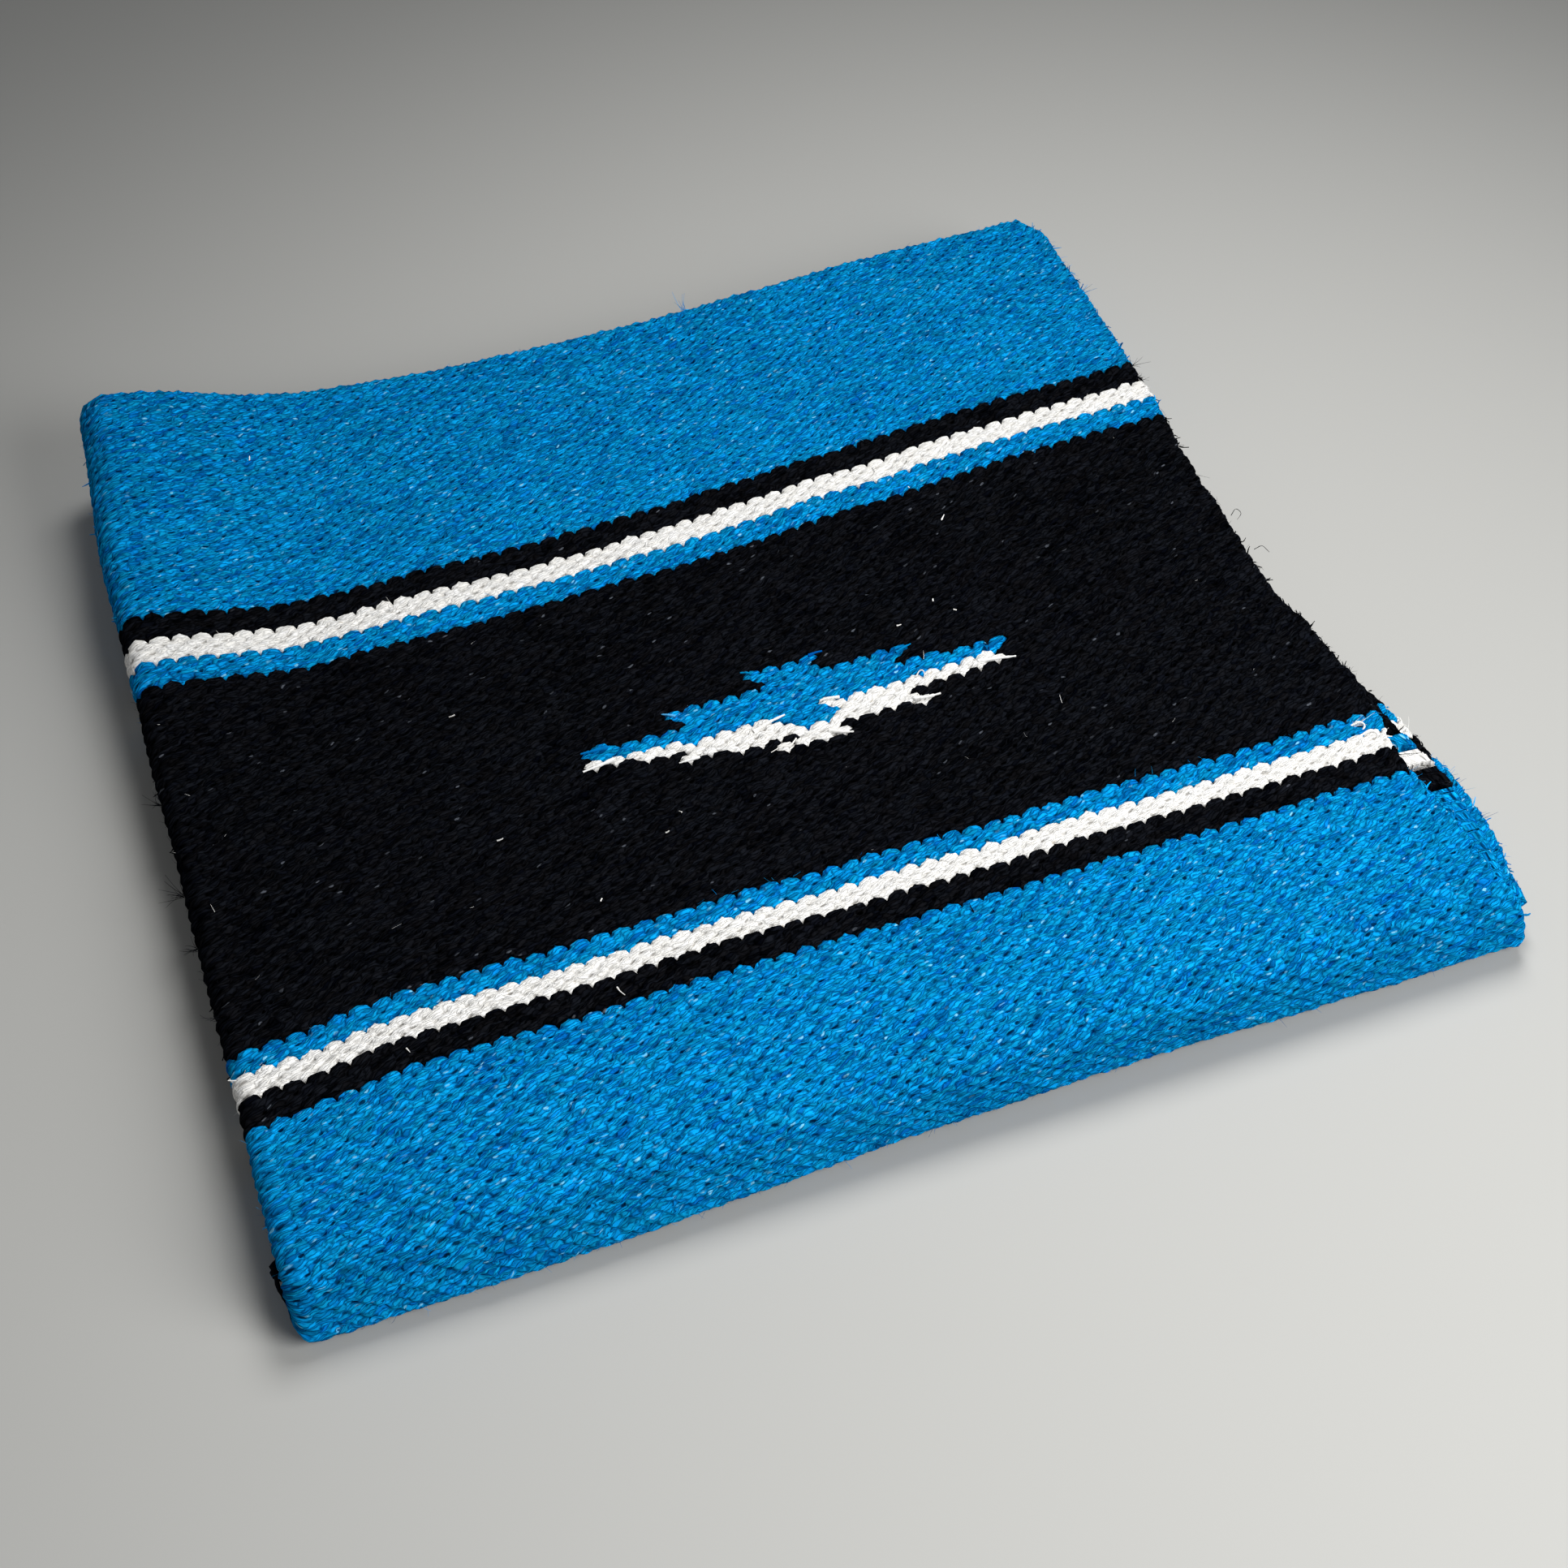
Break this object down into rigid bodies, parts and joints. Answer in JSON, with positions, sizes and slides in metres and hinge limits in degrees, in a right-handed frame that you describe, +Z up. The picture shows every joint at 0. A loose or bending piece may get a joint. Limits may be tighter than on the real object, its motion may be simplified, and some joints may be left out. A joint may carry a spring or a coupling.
{
  "type": "saddle blanket",
  "caption": "Thick woven saddle blanket with striped bands and a stepped diamond, folded into quarters; the upper half opens about the near fold.",
  "frame": {"origin": "under the middle of the folded blanket's bounding box, on the surface it lies on", "axes": "+Z up through the layers, +X along the weft stripes from the left fold to the right selvages, +Y from the near fold to the far edge"},
  "size_m": [0.4194, 0.383, 0.0428],
  "materials": {
    "blue_weft": "heathered turquoise blue woven wool blend, matte and slightly fuzzy",
    "black_weft": "blue-black woven wool blend with pale lint flecks, matte",
    "white_weft": "natural white woven wool blend, matte"
  },
  "bodies": {
    "lower_half": {"lower_centre_field": "black_weft", "lower_far_black_stripe": "black_weft", "lower_far_blue_stripe": "blue_weft", "lower_far_field": "blue_weft", "lower_far_white_stripe": "white_weft", "lower_inner_diamond_blue": "blue_weft", "lower_inner_diamond_white": "white_weft", "lower_near_black_stripe": "black_weft", "lower_near_blue_stripe": "blue_weft", "lower_near_field": "blue_weft", "lower_near_white_stripe": "white_weft", "lower_outer_diamond_blue": "blue_weft", "lower_outer_diamond_white": "white_weft", "near_fold": "blue_weft"},
    "upper_half": {"upper_centre_field": "black_weft", "upper_far_black_stripe": "black_weft", "upper_far_blue_stripe": "blue_weft", "upper_far_field": "blue_weft", "upper_far_white_stripe": "white_weft", "upper_inner_diamond_blue": "blue_weft", "upper_inner_diamond_white": "white_weft", "upper_near_black_stripe": "black_weft", "upper_near_blue_stripe": "blue_weft", "upper_near_field": "blue_weft", "upper_near_white_stripe": "white_weft", "upper_outer_diamond_blue": "blue_weft", "upper_outer_diamond_white": "white_weft"}
  },
  "joints": [
    {"name": "near_fold_hinge", "type": "hinge", "parent": "lower_half", "child": "upper_half", "pos_m": [0, -0.18625, 0.01325], "axis": [1, 0, 0], "range_deg": [0, 180], "deforming": ["near_fold"]}
  ]
}
